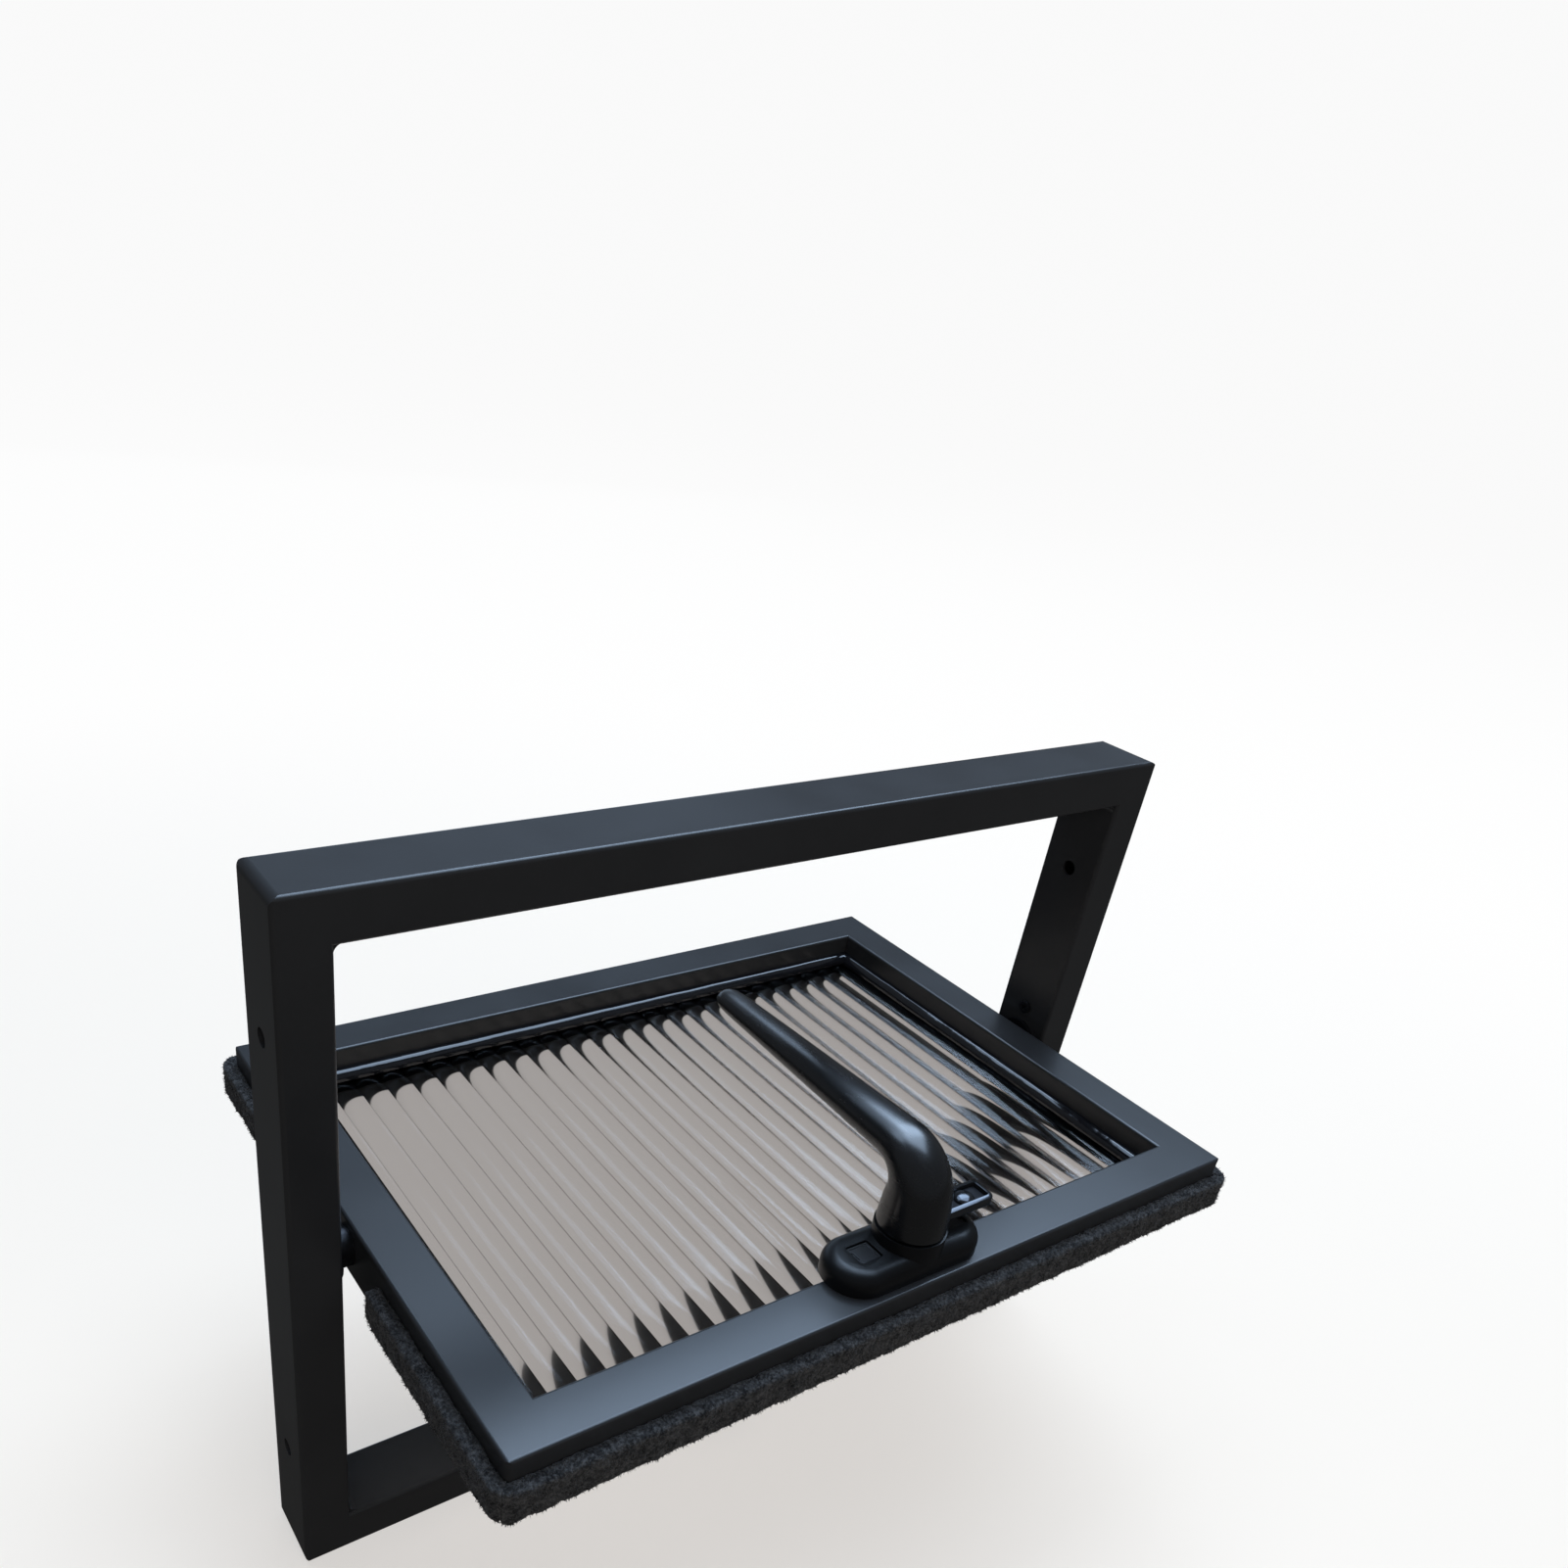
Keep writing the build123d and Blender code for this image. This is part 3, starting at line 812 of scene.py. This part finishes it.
def handle_lever():
    """Swan neck: a round foot drawn up, turned over the bend in steps and out to a narrow tip."""
    rows = lever_stations()
    clear_selection()
    along, up, tilt, wide, thick = rows[0]
    bpy.ops.mesh.primitive_circle_add(
        vertices=LEVER_SIDES, radius=wide, location=SPINDLE + Vector((0, along, up)), fill_type="NGON"
    )
    lever = named("handle_grip")
    choose_all(lever, faces=True)
    for row, last in zip(rows[1:], rows):
        along, up, tilt, wide, thick = row
        centre = SPINDLE + Vector((0, along, up))
        pull((0, along - last[0], up - last[1]))
        if tilt != last[2]:
            bpy.ops.transform.rotate(
                value=math.radians(tilt - last[2]), orient_axis="X", center_override=centre
            )
        bpy.ops.transform.resize(
            value=(wide / last[3], thick / last[4], thick / last[4]), center_override=centre
        )
    bpy.ops.object.mode_set(mode="OBJECT")
    close_up(lever)
    modify(lever, "SUBSURF", levels=3, render_levels=3)
    close_up(lever)
    return hand_over(lever, "handle", "handle_coat", handle_coat, ["handle_lever"], smooth=60)


def handle_spur():
    """Tongue let into the neck's side, with a raised rim round a dull well coloured darker as painted
    shade, and a domed rivet.
    """
    low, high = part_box("handle_spur")
    slope = Vector((0, 0, SPUR_SLOPE))
    spur = block("handle_tongue", (low.x + SPUR_HIDDEN, low.y, low.z), high - slope)
    choose(spur, edges=lambda start, end: abs(start.z - end.z) > MM and start.x > high.x - MM)
    bpy.ops.mesh.bevel(offset=SPUR_CORNER, segments=6, affect="EDGES")
    choose(spur, faces=lambda centre, normal: normal.z > 0.9)
    bpy.ops.mesh.inset(thickness=SPUR_RIM, depth=SPUR_SLOPE)
    pull((0, 0, -SPUR_DEPTH))
    bpy.ops.object.mode_set(mode="OBJECT")
    well_low = Vector((NECK_RADIUS - MM, low.y + WELL_INSET, high.z - WELL_UNDER))
    well_high = Vector((high.x - WELL_INSET, high.y - WELL_INSET, high.z - WELL_TOP))
    # A dark insert lines the tongue's recess: its colour is painted shade
    well = block("handle_spur_well", well_low, well_high)
    choose(well, faces=lambda centre, normal: normal.z > 0.9)
    bpy.ops.mesh.inset(thickness=WELL_RIM, depth=-WELL_DISH)
    bpy.ops.object.mode_set(mode="OBJECT")
    ease_edges(well, 0.2 * MM, 2, angle=10)
    close_up(well)
    hand_over(well, "handle", "spur_metal", spur_shaded_well)
    ease_edges(spur, 0.4 * MM, 3)
    close_up(spur)
    hand_over(spur, "handle", "spur_metal", spur_metal, ["handle_spur"])
    clear_selection()
    middle = Vector((RIVET_OFFSET, SPINDLE.y, high.z - RIVET_SEAT))
    bpy.ops.mesh.primitive_uv_sphere_add(
        segments=32, ring_count=16, radius=RIVET_RADIUS, location=middle
    )
    dome = named("handle_spur_rivet")
    choose_all(dome)
    bpy.ops.mesh.bisect(plane_co=middle, plane_no=(0, 0, 1), clear_inner=True, use_fill=True)
    bpy.ops.mesh.select_all(action="SELECT")
    bpy.ops.transform.resize(value=(1, 1, RIVET_FLATTEN), center_override=middle)
    close_up(dome)
    hand_over(dome, "handle", "spur_metal", spur_metal, smooth=60)
    return spur


# Screws


def pan_screw():
    """Pan-head screw with a cross recess, its underside on the XY plane."""
    clear_selection()
    bpy.ops.mesh.primitive_cylinder_add(
        vertices=32, radius=SCREW_RADIUS, depth=SCREW_HEIGHT, location=(0, 0, SCREW_HEIGHT / 2)
    )
    screw = named("screw")
    choose(screw, faces=lambda centre, normal: normal.z > 0.9)
    bpy.ops.mesh.inset(thickness=SCREW_CROWN_INSET, depth=SCREW_CROWN_RISE)
    bpy.ops.object.mode_set(mode="OBJECT")
    for wide, deep in ((CROSS_LENGTH, CROSS_WIDTH), (CROSS_WIDTH, CROSS_LENGTH)):
        reach = Vector((wide, deep, 0)) / 2
        arm = block("arm", -reach + Vector((0, 0, CROSS_FLOOR)), reach + Vector((0, 0, CROSS_TOP)))
        cut_or_join(screw, arm, "DIFFERENCE")
    ease_edges(screw, 0.12 * MM, 2, angle=35)
    close_up(screw)
    return screw


def set_screws():
    """One screw copied above and below each pivot plate and to each end of the keeper's foot."""
    pattern = pan_screw()
    seats = []
    for side, sign in (("left", 1), ("right", -1)):
        low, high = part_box("pivot_plate_" + side)
        face = low.x if sign > 0 else high.x
        middle = (low + high) / 2
        for end, offset in (("upper", PLATE_SCREW_OFFSET), ("lower", -PLATE_SCREW_OFFSET)):
            place = Vector((face, middle.y, middle.z + offset))
            outward = Vector((sign, 0, 0))
            seats.append((f"pivot_screw_{side}_{end}", place, outward, pivot_metal, "pivot_metal"))
    low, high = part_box("keeper")
    sill_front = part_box("frame_sill")[0].y
    for side, offset in (("left", -KEEPER_SCREW_OFFSET), ("right", KEEPER_SCREW_OFFSET)):
        place = Vector((offset, sill_front - KEEPER_FOOT, (low.z + high.z) / 2))
        outward = Vector((0, -1, 0))
        seats.append((f"keeper_screw_{side}", place, outward, handle_coat, "handle_coat"))
    rng = random.Random(SCREW_TURN_SEED)
    for name, place, outward, finish, slot in seats:
        screw = copy_of(pattern, name)
        turn = Quaternion(outward, rng.uniform(0, math.pi / 2)) @ outward.to_track_quat("Z", "Y")
        screw.data.transform(Matrix.Translation(place) @ turn.to_matrix().to_4x4())
        hand_over(screw, "frame", slot, finish)
    bpy.data.objects.remove(pattern)


reeded_pane()
sealant_bead()
strip_names = sorted(name for name in nodes if name.startswith("pile_strip"))
for seed, strip_name in enumerate(strip_names, PILE_FIRST_SEED):
    pile_strip(strip_name, seed)
handle_base()
screw_cover("handle_screw_cover_left")
screw_cover("handle_screw_cover_right")
handle_lever()
handle_spur()
set_screws()


# Stage, light and camera


def way_of_seeing(tree, way):
    """1 for rays that come that way."""
    return tree.node("ShaderNodeLightPath", output=way)


def white_in_rays(tree):
    """The share of white that is seen through the glass and in gloss."""
    through = way_of_seeing(tree, "Is Transmission Ray") * WHITE_IN_GLASS
    return through + way_of_seeing(tree, "Is Glossy Ray") * WHITE_IN_GLOSS


def pale_floor():
    """A wide pale floor that keeps the window's shadow round its foot."""
    clear_selection()
    bpy.ops.mesh.primitive_plane_add(size=60, location=(0, 0, 0))
    floor = named("floor")
    paint, tree = new_finish("floor_paint")
    matt = tree.node("ShaderNodeBsdfDiffuse", None, {"Color": FLOOR_PAINT})
    shade = tree.node("ShaderNodeBsdfDiffuse", None, {"Color": FLOOR_SHADE})
    white = tree.node("ShaderNodeEmission", None, {"Color": (1, 1, 1, 1), "Strength": 1.0})
    direct = way_of_seeing(tree, "Is Camera Ray")
    place = object_place(tree)
    distance = tree.node("ShaderNodeVectorMath", {"operation": "LENGTH"}, {0: place}, output="Value")
    far = masked(tree, distance, *SHADOW_REACH)
    share = direct * (FLOOR_WHITE - SHADOW_SHARE * (1 - far)) + white_in_rays(tree)
    ground = tree.node("ShaderNodeMixShader", None, {0: direct, 1: matt, 2: shade})
    both = tree.node("ShaderNodeMixShader", None, {0: share, 1: ground, 2: white})
    tree.node("ShaderNodeOutputMaterial", None, {"Surface": both})
    floor.data.materials.append(paint)


def studio_world():
    """White surroundings for the camera, less of it in glass and gloss, and a soft level as light."""
    world = bpy.data.worlds.new("studio")
    bpy.context.scene.world = world
    tree = tree_of(world)
    plain = {"Color": (1, 1, 1, 1), "Strength": WORLD_WHITE}
    soft = {"Color": WORLD_TINT, "Strength": WORLD_LEVEL}
    white = tree.node("ShaderNodeBackground", None, plain)
    light = tree.node("ShaderNodeBackground", None, soft)
    seen = way_of_seeing(tree, "Is Camera Ray") + white_in_rays(tree)
    both = tree.node("ShaderNodeMixShader", None, {0: seen, 1: light, 2: white})
    tree.node("ShaderNodeOutputWorld", None, {"Surface": both})


def soft_box(name, place, roll, size, power, colour, gloss=True):
    """A large soft lamp that faces the window, turned about its own axis."""
    lamp = bpy.data.lights.new(name, "AREA")
    lamp.shape = "RECTANGLE"
    lamp.size, lamp.size_y = size
    lamp.energy = power
    lamp.color = colour
    holder = bpy.data.objects.new(name, lamp)
    holder.location = place
    holder.visible_camera = False
    holder.visible_transmission = False
    holder.visible_glossy = gloss
    facing = (WINDOW_MIDDLE - Vector(place)).to_track_quat("-Z", "Y")
    holder.rotation_euler = (facing @ Quaternion((0, 0, 1), math.radians(roll))).to_euler()
    bpy.context.scene.collection.objects.link(holder)


def photo_camera():
    """Camera at the photograph's place, direction and roll."""
    lens = bpy.data.cameras.new("camera")
    lens.lens = CAMERA_LENS
    lens.sensor_width = 36
    lens.shift_x, lens.shift_y = CAMERA_SHIFT
    lens.clip_start = 0.01
    camera = bpy.data.objects.new("camera", lens)
    camera.location = CAMERA_PLACE
    look = Vector(CAMERA_LOOK).to_track_quat("-Z", "Y")
    roll = Quaternion((0, 0, 1), math.radians(CAMERA_ROLL))
    camera.rotation_euler = (look @ roll).to_euler()
    bpy.context.scene.collection.objects.link(camera)
    bpy.context.scene.camera = camera


pale_floor()
studio_world()
soft_box("top_panel", (0.50, 0.85, 2.37), 30.6, (3.68, 1.16), 42, PANEL_TINT)
soft_box("side_panel", (0.88, 0.33, 2.41), -57.8, (2.36, 1.82), 60, PANEL_TINT)
soft_box("ridge_panel", (0.56, 1.36, 2.18), 37, (0.55, 1.0), 4.5, PANEL_TINT)
soft_box("back_panel", (0.60, 2.40, 0.60), 0, (2.2, 0.9), 6, PANEL_TINT)
soft_box("front_fill", (-0.8, -2.3, 1.4), 0, (4.0, 2.6), 46, FILL_TINT, gloss=False)
photo_camera()
bpy.context.scene.view_settings.view_transform = "Standard"

clear_selection()
